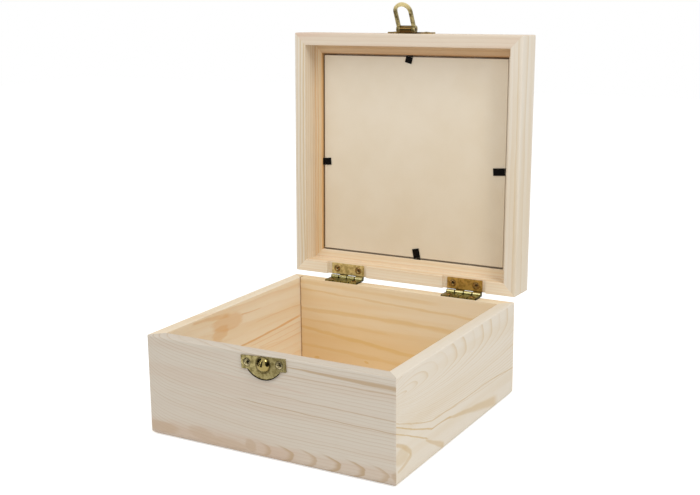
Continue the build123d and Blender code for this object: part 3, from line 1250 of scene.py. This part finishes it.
@dataclass
class Base:
    """The four walls of the base and its bottom."""

    half: float = 80.0 * MM
    inner: float = 72.0 * MM

    def front(self) -> Pine:
        """Front wall: fine level grain, a brown band under the rim and a foot cut nearly along the rings, in
        a greyer tone that paints the shade falling on it.

        Returns:
            The wall's finish.
        """
        marks = (
            Streak((92.0, 55.4), (176.0, 53.4), 0.0, (0.4, 2.2), 0.75),
            Streak((92.0, 50.5), (176.0, 50.6), 0.0, (0.3, 0.55), 0.4),
            Streak((60.0, 32.4), (176.0, 29.5), -0.5, (0.3, 0.45), 0.7),
            Streak((76.0, 38.6), (176.0, 36.0), -0.3, (0.3, 0.35), 0.5),
            Streak((30.0, 45.5), (110.0, 42.0), 0.5, (0.5, 0.8), 0.35, Shade.FLUSH),
            Streak((-6.0, 4.6), (100.0, 3.6), 0.0, (7.4, 7.4), 0.55, Shade.FLUSH, 7.0),
            Streak((76.0, 3.4), (170.0, 3.0), 0.0, (7.0, 8.0), 0.35, Shade.FLUSH, 7.0),
            Patch(8.0, 6.0, 13.0, 3.8, -3.0, 0.38),
            Patch(38.0, 6.0, 13.0, 4.0, -12.0, 0.26),
            Patch(57.0, 4.6, 11.0, 3.6, -8.0, 0.24),
            Patch(69.5, 6.4, 4.2, 3.4, -30.0, 0.36),
            Patch(161.0, 6.0, 4.5, 3.4, 0.0, 0.45),
            Scallops(84.0, 158.0, 14.6, 5.2, 5.6, 0.36, 0.85),
        )
        grain = FallingGrain(ring=1.95, seed=3.1, wander=1.0, ripple=0.45)
        board = Board((-self.half, -self.half, 0.0), RIGHT, UP, BACK)
        return Pine(board, grain, Tone.SHADED_GREY, contrast=0.95, flush=0.3, sharpness=6.5, marks=marks)

    def right(self) -> Pine:
        """Right wall: grain that fans out from the near end, with nested arches under the rim.

        Returns:
            The wall's finish.
        """
        marks = (
            Streak((-2.0, 36.3), (43.0, 22.5), -0.9, (0.4, 0.45), 0.6),
            Streak((40.0, 22.8), (107.0, 21.1), -0.4, (0.45, 0.45), 0.6),
            Streak((103.0, 21.2), (176.0, 15.2), 1.4, (0.45, 0.45), 0.6),
            Streak((-2.0, 34.4), (44.0, 17.6), -0.8, (0.5, 0.6), 0.75),
            Streak((40.0, 18.0), (67.0, 16.4), 0.6, (0.6, 0.7), 0.7),
            Streak((62.0, 16.8), (134.0, 4.4), 0.3, (0.5, 4.7), 0.5),
            Streak((-2.0, 30.6), (38.0, 13.6), 0.3, (0.45, 0.6), 0.7),
            Streak((34.0, 14.2), (58.0, 2.6), 0.0, (0.7, 3.0), 0.5),
            Streak((-2.0, 24.2), (17.5, 13.2), 1.4, (1.3, 2.6), 0.55),
            Streak((1.0, 8.4), (17.5, 13.0), -1.0, (1.0, 2.2), 0.45),
            Patch(6.0, 15.0, 8.0, 5.0, 0.0, 0.28),
        )
        grain = FanGrain(ring=1.0, seed=8.4, wander=0.8, ripple=0.45)
        board = Board((self.half, -self.half, 0.0), BACK, UP, LEFT)
        return Pine(board, grain, Tone.CREAM, 0.8, 0.5, 5.0, marks, plain_above=59.6)

    def back(self) -> Pine:
        """Back wall: broad warm streaks that run along the inside.

        Returns:
            The wall's finish.
        """
        marks = (
            Streak((-8.0, 15.0), (160.0, 12.0), 0.0, (27.0, 25.0), 0.5, Shade.FLUSH, 8.0),
            Streak((-4.0, 57.6), (104.0, 54.0), 0.0, (1.2, 1.6), 0.3, fray=2.0),
            Streak((-4.0, 52.6), (150.0, 46.4), 0.3, (0.8, 1.1), 0.42, fray=2.0),
            Streak((-4.0, 38.4), (130.0, 36.4), 1.2, (1.4, 2.2), 0.42, fray=3.0),
            Streak((-4.0, 31.6), (70.0, 29.0), 0.0, (0.8, 1.2), 0.25, fray=3.0),
            Streak((-4.0, 26.2), (96.0, 15.6), 0.0, (1.4, 2.2), 0.5, fray=3.0),
            Streak((-4.0, 13.6), (94.0, 8.4), 0.4, (1.4, 2.2), 0.35, fray=3.0),
            Patch(12.3, 5.2, 2.2, 1.0, 10.0, 0.6),
            Patch(51.0, 7.4, 2.0, 0.9, -12.0, 0.6),
            # A dark brown line down the inside corner with the left wall.
            Patch(0.0, 30.0, 0.85, 60.0, 0.0, 0.8, Shade.CORNER_LINE),
        )
        grain = PithGrain(9.0, 5.5, 3.0, 0.6, pith_across=-30.0, pith_depth=12.0)
        board = Board((-self.inner, self.inner, 0.0), RIGHT, UP, BACK)
        return Pine(board, grain, Tone.HONEY, 0.2, 0.45, 1.5, marks, marks_depth=4.0)

    def left(self) -> Pine:
        """Left wall: a large tan patch and long faint lines on the inside.

        Returns:
            The wall's finish.
        """
        marks = (
            Streak((24.0, 58.4), (62.0, 54.6), 0.5, (0.8, 2.2), 0.4, fray=2.0),
            Patch(60.0, 50.6, 17.5, 6.2, -4.0, 0.42),
            Patch(51.5, 45.2, 9.5, 5.4, 10.0, 0.38),
            Streak((74.0, 51.8), (97.0, 50.4), 0.0, (0.6, 0.3), 0.5),
            Streak((69.0, 31.2), (146.0, 33.8), -0.6, (0.7, 1.2), 0.75),
            Streak((90.0, 42.4), (146.0, 41.0), 0.6, (0.4, 0.5), 0.25),
            Streak((82.0, 28.4), (146.0, 29.6), -0.4, (0.4, 0.5), 0.35),
            Streak((92.0, 25.0), (146.0, 25.6), -0.4, (0.4, 0.5), 0.3),
            Streak((100.0, 21.4), (146.0, 21.8), -0.4, (0.4, 0.5), 0.3),
        )
        grain = PithGrain(6.5, 2.3, 2.6, 0.6, pith_across=-20.0, pith_depth=16.0, climb=-0.05)
        board = Board((-self.inner, -self.inner, 0.0), BACK, UP, LEFT)
        return Pine(board, grain, Tone.STRAW, contrast=0.3, flush=0.4, sharpness=2.5, marks=marks)

    def bottom(self) -> Pine:
        """Bottom panel: plain broad grain.

        Returns:
            The panel's finish.
        """
        grain = PithGrain(3.5, 9.2, 2.5, 0.5, pith_across=10.0, pith_depth=30.0)
        return Pine(Board((0.0, 0.0, 0.0), RIGHT, BACK, UP), grain, Tone.HONEY, contrast=0.5)

    def dress(self) -> None:
        """Give each board its own cut of pine."""
        boards = {
            "front_wall": self.front(),
            "right_wall": self.right(),
            "back_wall": self.back(),
            "left_wall": self.left(),
            "bottom_panel": self.bottom(),
        }
        for node, finish in boards.items():
            dress(node, finish.material("pine_" + node))


@dataclass
class Lid:
    """The framed lid: boards, picture frame, pane, backing panel and its flexible points."""

    rim: float = 60.3 * MM
    half: float = 80.0 * MM
    pane_gap: float = 0.04 * MM
    hinge: Vector = field(init=False)
    swing: Matrix = field(init=False)

    def __post_init__(self) -> None:
        """Take the hinge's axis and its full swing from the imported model."""
        joint = next(entry for entry in frame["joints"] if entry["name"] == "lid_hinge")
        self.hinge = Vector(joint["pos_m"])
        self.swing = Matrix.Rotation(-math.radians(joint["range_deg"][1]), 3, "X")

    def opened(self, point: Sequence[float]) -> Vector:
        """Place of a point of the closed lid once the lid is open."""
        return self.hinge + self.turned(Vector(point) - self.hinge)

    def turned(self, direction: Sequence[float]) -> Vector:
        """A direction of the closed lid once the lid is open."""
        return self.swing @ Vector(direction)

    def board(self, corner: Sequence[float], along: Sequence[float], across: Sequence[float]) -> Board:
        """Place of a board, given on the closed lid.

        Args:
            corner: Corner of its showing face.
            along: Direction of its grain.
            across: Direction across its face.

        Returns:
            The board's place on the open lid.
        """
        return Board(
            tuple(self.opened(corner)),
            tuple(self.turned(along)),
            tuple(self.turned(across)),
            tuple(self.turned(UP)),
        )

    def boards(self) -> dict[str, Pine]:
        """Cut of pine of each board and rail; the face that shows is the lid's rim.

        Returns:
            The finish of each node.
        """
        low = -self.half
        front = self.board((low, low, self.rim), RIGHT, BACK)
        back = self.board((low, self.half, self.rim), RIGHT, FRONT)
        left = self.board((low, low, self.rim), BACK, RIGHT)
        right = self.board((self.half, low, self.rim), BACK, LEFT)
        # Painted warm bounce light and shade on the inner faces of the back and left boards, 8 mm in from the
        # rim's outer edge.
        inside = (Streak((-4.0, 8.0), (170.0, 8.0), 0.0, (0.7, 0.7), 0.14, fray=0.0),)
        # Painted shade on the front and left rails: a dark line along the gap round the backing panel.
        edge = (Streak((-4.0, 13.6), (170.0, 13.6), 0.0, (0.9, 0.9), 0.8, fray=0.6),)
        return {
            "lid_front_board": Pine(front, Grain(2.6, 1.7, 0.8), Tone.ROSY, 0.6, 0.9, 2.5),
            "lid_back_board": Pine(back, Grain(1.9, 6.1, 0.9, 0.3), Tone.STRAW, 0.6, 0.3, 3.0, inside),
            "lid_left_board": Pine(left, Grain(2.4, 4.4, 1.3, 0.4, 0.85), Tone.CREAM, 0.95, 0.7, 2.0, inside),
            "lid_right_board": Pine(right, Grain(2.9, 7.7, 0.7, 0.3), Tone.CREAM, 0.6, 0.8, 2.5),
            "frame_rail_front": Pine(front, Grain(2.4, 11.2, 1.2), Tone.AMBER, 0.5, 0.6, 2.0, edge),
            "frame_rail_back": Pine(back, Grain(2.2, 12.9, 1.2), Tone.STRAW, 0.6, 0.6, 3.5),
            "frame_rail_left": Pine(left, Grain(1.8, 13.3, 1.2), Tone.STRAW, 0.9, 0.7, 1.5, edge),
            "frame_rail_right": Pine(right, Grain(2.6, 14.8, 1.2), Tone.CREAM, 0.5, 0.6, 2.5),
        }

    def dress(self) -> None:
        """Give each board, rail, pane, panel and point its finish."""
        for node, finish in self.boards().items():
            dress(node, finish.material("pine_" + node))
        # The panel's third colour is the painted shade along its edges.
        panel = Sheet("backing_panel", srgb(241, 230, 211), srgb(222, 203, 170), srgb(92, 60, 34))
        dress("backing_panel", panel.material("backing_board"))
        dress("glass_pane", Glass().material("clear_glass"))
        # The pane's inner face lies in the panel's plane, so the pane is drawn in by a hair.
        gap = frame["nodes"]["glass_pane"].modifiers.new("gap_to_panel", "DISPLACE")
        gap.mid_level = 0.0
        gap.strength = -self.pane_gap
        black = BlackSteel().material("black_steel")
        for node in frame["nodes"]:
            if node.startswith("point_"):
                dress(node, black)


@dataclass
class Hinges:
    """Two butt hinges: a leaf on the base's rim and one in the lid's, with rolled knuckles."""

    thickness: float = 1.0 * MM
    screw_pitch: float = 16.0 * MM
    screw_inset: float = 3.6 * MM
    knuckle_radius: float = 1.35 * MM
    knuckles: int = 4
    seam_half: float = 0.42 * MM
    root_gap: float = 0.3 * MM
    root_half: float = 0.32 * MM
    upper_roll: float = 0.6 * MM
    upper_half: float = 0.8 * MM
    ring_width: float = 0.3 * MM
    sides: tuple[str, str] = ("left", "right")

    def base_screws(self) -> list[Spot]:
        """Find the screw heads on the base's leaves.

        Returns:
            Centre and facing of each head.
        """
        spots = []
        for side in self.sides:
            low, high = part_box("base_hinge_leaf_" + side)
            for sign in (-1, 1):
                x = (low.x + high.x) / 2 + sign * self.screw_pitch / 2
                spots.append((Vector((x, low.y + self.screw_inset, low.z + self.thickness)), Vector(UP)))
        return spots

    def lid_screws(self, lid: Lid) -> list[Spot]:
        """Find the screw heads on the lid's leaves.

        Args:
            lid: The lid, for its swing.

        Returns:
            Centre and facing of each head, on the open lid.
        """
        spots = []
        for point, facing in self.base_screws():
            mirrored = Vector((point.x, point.y, 2 * lid.hinge.z - point.z))
            spots.append((lid.opened(mirrored), lid.turned(-facing)))
        return spots

    def knuckle_gap_shades(self, lid: Lid) -> tuple[Band, ...]:
        """Painted shade in the gaps between the knuckles of both hinges, below the lid's leaves.

        Args:
            lid: The lid, for the height of its hinge.

        Returns:
            One band for each gap.
        """
        bands = []
        for side in self.sides:
            low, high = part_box("lid_hinge_leaf_" + side)
            for index in range(self.knuckles + 1):
                place = low.x + (high.x - low.x) * index / self.knuckles
                ceiling = lid.hinge.z + self.knuckle_radius
                bands.append(Band(place, self.seam_half, srgb(34, 28, 12), 0.5, 0.9, RIGHT, ceiling))
        return tuple(bands)

    def build(self, lid: Lid, screws: Screws) -> None:
        """Dress the leaves and pins and set the screws.

        Args:
            lid: The lid, for its swing.
            screws: The screws.
        """
        base_screws = self.base_screws()
        lid_screws = self.lid_screws(lid)
        axis = lid.hinge.z
        crease = axis + self.knuckle_radius + self.root_gap
        # Painted shadow: a dark line in the crease between each lid leaf and its knuckles.
        root = Band(crease, self.root_half, srgb(56, 48, 22), 0.45, 0.9)
        roll = Band(axis, self.knuckle_radius, srgb(206, 196, 142), 0.1)
        half_roll = Band(axis + self.upper_roll, self.upper_half, srgb(196, 186, 130), 0.1)
        # Painted shade round the screw heads on the lid's leaves.
        rings = screw_shade_rings(lid_screws, screws.head_radius, self.ring_width, srgb(88, 62, 26), 0.7)
        # Painted shade in the gaps between the knuckles.
        knuckle_gap_shades = self.knuckle_gap_shades(lid)
        zones = (roll, root, *rings, *knuckle_gap_shades)
        dark = Brass(srgb(112, 102, 60), srgb(58, 50, 26), 0.28)
        # The base leaves take a darker copy of the hinge brass: painted shade.
        shaded_low_leaf = Brass(srgb(164, 154, 94), srgb(88, 78, 42), 0.24, 2.0, (half_roll, *knuckle_gap_shades))
        finishes = {
            "base_hinge_leaf_left": shaded_low_leaf,
            "base_hinge_leaf_right": shaded_low_leaf,
            "hinge_pin_left": dark,
            "hinge_pin_right": dark,
            "lid_hinge_leaf_left": Brass(srgb(246, 230, 168), srgb(184, 162, 100), 0.34, 2.5, zones),
            "lid_hinge_leaf_right": Brass(srgb(224, 188, 104), srgb(158, 118, 52), 0.36, 2.5, zones),
        }
        for node, finish in finishes.items():
            dress(node, finish.material("brass_" + node))
        head = Brass(srgb(206, 168, 106), srgb(128, 90, 46), 0.24, 1.2).material("brass_hinge_screws")
        screws.make("base_hinge_screws", base_screws, head)
        screws.make("lid_hinge_screws", lid_screws, head)


@dataclass
class Catch:
    """The catch on the front wall: a plate with a raised dome, held by two screws."""

    wall_face: float = -80.0 * MM
    centre_height: float = 54.6 * MM
    tilt: float = -math.radians(3.5)
    thickness: float = 1.0 * MM
    screw_pitch: float = 20.8 * MM
    screw_lift: float = 0.75 * MM
    dome_drop: float = 5.4 * MM
    dome_radius: float = 4.6 * MM
    apron_radius: float = 12.9 * MM
    apron_depth: float = 5.0 * MM
    foot_shift: float = 1.0 * MM
    ring_width: float = 0.35 * MM
    # Reaches of the painted shade round the dome and of the painted shadow at the apron's lower edge.
    dome_crease_shade: Span = (-0.3 * MM, 0.4 * MM)
    apron_edge: Span = (-0.6 * MM, 1.0 * MM)
    foot_edge: Span = (0.2 * MM, 3.0 * MM)

    def screw_places(self) -> list[Spot]:
        """Find the screw heads on the plate.

        Returns:
            Centre and facing of each head.
        """
        turn = Matrix.Rotation(self.tilt, 3, "Y")
        centre = Vector((0.0, self.wall_face - self.thickness, self.centre_height))
        spots = []
        for sign in (-1, 1):
            offset = turn @ Vector((sign * self.screw_pitch / 2, 0.0, self.screw_lift))
            spots.append((centre + offset, Vector(FRONT)))
        return spots

    def zones(self, spots: list[Spot], head_radius: float) -> tuple[Zone, ...]:
        """Other finish on the plate: the glossy dome, painted shade in the crease round the dome and round
        each screw head, and painted shadow along and under the apron's lifted lower edge.

        Args:
            spots: Centre and facing of each screw head.
            head_radius: Radius of a head.

        Returns:
            The zones, in the order in which they cover each other.
        """
        low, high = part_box("catch_plate")
        middle = (low.x + high.x) / 2
        dome = (middle, high.z - self.dome_drop)
        apron = (middle, low.z + self.apron_radius)
        foot = (middle, low.z + self.apron_radius + self.foot_shift)
        top = low.z + self.apron_depth
        joint = [self.dome_radius + reach for reach in self.dome_crease_shade]
        edge = [self.apron_radius + reach for reach in self.apron_edge]
        shadow = [self.apron_radius + reach for reach in self.foot_edge]
        dark = srgb(60, 50, 28)
        black = srgb(34, 28, 14)
        return (
            Zone(dome, 0.0, self.dome_radius, srgb(154, 138, 86), 0.12),
            # Painted shade in the crease round the dome's foot.
            Zone(dome, *joint, dark, 0.4, 0.6),
            # Painted shadow along the apron's lifted lower edge.
            Zone(apron, *edge, dark, 0.5, 0.9, ceiling=top),
            # Painted shadow just under that edge, a little lower and wider.
            Zone(foot, *shadow, black, 0.5, 0.95, ceiling=top),
            # Painted shade round each screw head.
            *screw_shade_rings(spots, head_radius, self.ring_width, dark, 0.8),
        )

    def build(self, screws: Screws) -> None:
        """Dress the plate and set its screws.

        Args:
            screws: The screws.
        """
        spots = self.screw_places()
        zones = self.zones(spots, screws.head_radius)
        plate = Brass(srgb(186, 172, 120), srgb(118, 104, 58), 0.24, 2.2, zones)
        dress("catch_plate", plate.material("brass_catch_plate"))
        head = Brass(srgb(196, 184, 144), srgb(128, 112, 76), 0.22, 1.2)
        screws.make("catch_screws", spots, head.material("brass_catch_screws"))


@dataclass
class Hasp:
    """The hasp on the lid: a plate with a rolled barrel, its pin and the swinging loop."""

    face: float = -81.0 * MM
    screw_height: float = 72.3 * MM
    screw_pitch: float = 21.5 * MM
    crown_drop: float = 0.2 * MM
    crown_depth: float = 4.4 * MM
    barrel_radius: float = 2.3 * MM
    slot_drop: float = 0.2 * MM
    slot_half: float = 0.55 * MM
    top_half: float = 0.5 * MM

    def screw_places(self, lid: Lid) -> list[Spot]:
        """Find the screw heads on the plate.

        Args:
            lid: The lid, for its swing.

        Returns:
            Centre and facing of each head, on the open lid.
        """
        spots = []
        for sign in (-1, 1):
            closed = (sign * self.screw_pitch / 2, self.face, self.screw_height)
            spots.append((lid.opened(closed), lid.turned(FRONT)))
        return spots

    def build(self, lid: Lid, screws: Screws) -> None:
        """Dress the plate, pin and loop and set the screws.

        Args:
            lid: The lid, for its swing.
            screws: The screws.
        """
        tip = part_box("hasp_loop")[1].z
        radius = self.barrel_radius
        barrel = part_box("hasp_plate")[1].z - radius
        highest = tip - self.crown_drop
        # Painted highlight: the loop's crown, its highest part, is painted pale.
        crown = Band(highest, self.crown_depth, srgb(232, 214, 156), 0.2, 0.85, core=0.3)
        # The barrel's darker brass is a painted dark reflection; the near-black band just below its middle is
        # painted shade; the last band is a dark line along the top of the roll.
        zones = (
            Band(barrel, radius, srgb(112, 86, 46), 0.08, 0.9),
            Band(barrel - self.slot_drop, self.slot_half, srgb(30, 24, 14), 0.2, 0.8),
            Band(barrel + radius, self.top_half, srgb(52, 44, 28), 0.3, 0.8),
        )
        plate = Brass(srgb(180, 154, 98), srgb(104, 80, 42), 0.16, 3.0, zones)
        loop = Brass(srgb(164, 150, 104), srgb(76, 62, 34), 0.16, 2.6, (crown,))
        dress("hasp_plate", plate.material("brass_hasp_plate"))
        dress("hasp_pin", plate.material("brass_hasp_pin"))
        dress("hasp_loop", loop.material("brass_hasp_loop"))
        head = Brass(srgb(128, 108, 70), srgb(60, 46, 24), 0.28, 1.2)
        screws.make("hasp_screws", self.screw_places(lid), head.material("brass_hasp_screws"))


@dataclass(frozen=True)
class Lamp:
    """One soft rectangular lamp that points at the box."""

    name: str
    place: Triple
    size: Span
    power: float
    colour: Triple = (1.0, 1.0, 1.0)
    target: Triple = (0.0, 0.0, 0.1)

    def hang(self) -> None:
        """Hang the lamp at its place."""
        data = bpy.data.lights.new(self.name, "AREA")
        data.shape = "RECTANGLE"
        data.size, data.size_y = self.size
        data.energy = self.power
        data.color = self.colour
        lamp = add_object(self.name, data)
        aim = Vector(self.target) - Vector(self.place)
        turn = aim.to_track_quat("-Z", "Y").to_matrix().to_4x4()
        lamp.matrix_world = Matrix.Translation(self.place) @ turn


@dataclass(frozen=True)
class Card:
    """A dark card that only glossy surfaces see, so that metal shows dark bands.

    It reaches round the box from one angle to another, in degrees from the front towards the right,
    lies on the floor from its near distance to its far one and stands up there.
    """

    name: str
    start: float
    end: float
    near: float = 0.2
    far: float = 1.2
    height: float = 1.5
    lift: float = 0.001

    def corner(self, angle: float, distance: float, height: float) -> Triple:
        """Point at that angle round the box, distance from its middle and height."""
        turn = math.radians(angle)
        return (math.sin(turn) * distance, -math.cos(turn) * distance, height)

    def stand(self) -> None:
        """Set the card up as part of the stage."""
        corners = [
            self.corner(self.start, self.near, self.lift),
            self.corner(self.end, self.near, self.lift),
            self.corner(self.end, self.far, self.lift),
            self.corner(self.start, self.far, self.lift),
            self.corner(self.end, self.far, self.height),
            self.corner(self.start, self.far, self.height),
        ]
        mesh = bpy.data.meshes.new(self.name)
        mesh.from_pydata(corners, [], [(0, 1, 2, 3), (3, 2, 4, 5)])
        flag = add_object(self.name, mesh)
        surface = Surface(self.name)
        matt = surface.node("ShaderNodeBsdfDiffuse", {}, {"Color": srgb(40, 38, 34)})
        mesh.materials.append(surface.finish(matt))
        flag.visible_camera = False
        flag.visible_diffuse = False
        flag.visible_shadow = False
        flag.visible_transmission = False


@dataclass
class Studio:
    """Camera, light and floor."""

    camera_place: Triple = (0.33348, -0.57026, 0.25303)
    yaw: float = -0.51809
    pitch: float = 0.22370
    roll: float = -0.01112
    lens: float = 59.373
    sensor: float = 36.0
    clip: Span = (0.01, 50.0)
    ambient: float = 0.62
    floor_side: float = 4.0
    floor_glow: float = 0.5
    cards: tuple[Card, ...] = (
        Card("flag_left", -104.0, -56.0),
        Card("flag_front_left", -50.0, -35.0),
        Card("flag_front_right", -23.0, 0.0),
        Card("flag_right", 40.0, 96.0),
    )
    lamps: tuple[Lamp, ...] = (
        Lamp("key", (0.9, -0.5, 1.3), (0.35, 1.1), 9.0, (1.0, 0.99, 0.97)),
        Lamp("fill", (-0.8, -1.2, 1.0), (0.8, 1.2), 4.0),
    )

    def add_camera(self) -> None:
        """Stand the camera where the photograph was taken from."""
        data = bpy.data.cameras.new("camera")
        data.lens = self.lens
        data.sensor_width = self.sensor
        data.sensor_fit = "HORIZONTAL"
        data.clip_start, data.clip_end = self.clip
        camera = add_object("camera", data)
        level = math.cos(self.pitch)
        ahead = Vector((math.sin(self.yaw) * level, math.cos(self.yaw) * level, -math.sin(self.pitch)))
        right = Vector((math.cos(self.yaw), -math.sin(self.yaw), 0.0))
        up = right.cross(ahead)
        tilted_right = right * math.cos(self.roll) + up * math.sin(self.roll)
        tilted_up = up * math.cos(self.roll) - right * math.sin(self.roll)
        turn = Matrix((tilted_right, tilted_up, -ahead)).transposed()
        camera.matrix_world = Matrix.Translation(self.camera_place) @ turn.to_4x4()
        bpy.context.scene.camera = camera

    def seen(self, nodes: Nodes) -> Field:
        """Mark the rays that show the background: camera, glossy and clear ones.

        Args:
            nodes: Tree in which the factor is used.

        Returns:
            A factor that is 1 for those rays.
        """
        rays = nodes.node("ShaderNodeLightPath", {}, {}).outputs
        mirrored = nodes.math("MAXIMUM", rays["Is Camera Ray"], rays["Is Glossy Ray"])
        return nodes.math("MAXIMUM", mirrored, rays["Is Transmission Ray"])

    def add_world(self) -> None:
        """Surround the box with plain light, and white where it shows."""
        world = bpy.data.worlds.new("studio")
        world.use_nodes = True
        nodes = Nodes(world.node_tree)
        background = nodes.tree.nodes["Background"]
        background.inputs["Color"].default_value = WHITE
        strength = nodes.number("ShaderNodeMix", {}, {0: self.seen(nodes), 2: self.ambient, 3: 1.0})
        nodes.link(strength, background.inputs["Strength"])
        bpy.context.scene.world = world

    def add_floor(self) -> None:
        """Lay a pale floor that shows white and keeps the box's shadow."""
        half = self.floor_side / 2
        corners = [(-half, -half, 0.0), (half, -half, 0.0), (half, half, 0.0), (-half, half, 0.0)]
        mesh = bpy.data.meshes.new("floor")
        mesh.from_pydata(corners, [], [(0, 1, 2, 3)])
        floor = add_object("floor", mesh)
        surface = Surface("floor")
        matt = surface.node("ShaderNodeBsdfDiffuse", {}, {"Color": srgb(236, 236, 236)})
        light = {"Color": WHITE, "Strength": self.seen(surface) * self.floor_glow}
        glow = surface.node("ShaderNodeEmission", {}, light)
        both = surface.node("ShaderNodeAddShader", {}, {0: matt.outputs[0], 1: glow.outputs[0]})
        mesh.materials.append(surface.finish(both))

    def build(self) -> None:
        """Set up the whole studio."""
        self.add_camera()
        self.add_world()
        self.add_floor()
        for card in self.cards:
            card.stand()
        for lamp in self.lamps:
            lamp.hang()
        bpy.context.scene.view_settings.view_transform = "Standard"


def main() -> None:
    """Build the box's looks, part by part."""
    logging.basicConfig(level=logging.INFO, format="%(message)s")
    Base().dress()
    lid = Lid()
    lid.dress()
    screws = Screws()
    Hinges().build(lid, screws)
    Catch().build(screws)
    Hasp().build(lid, screws)
    Studio().build()


if __name__ == "__main__":
    main()
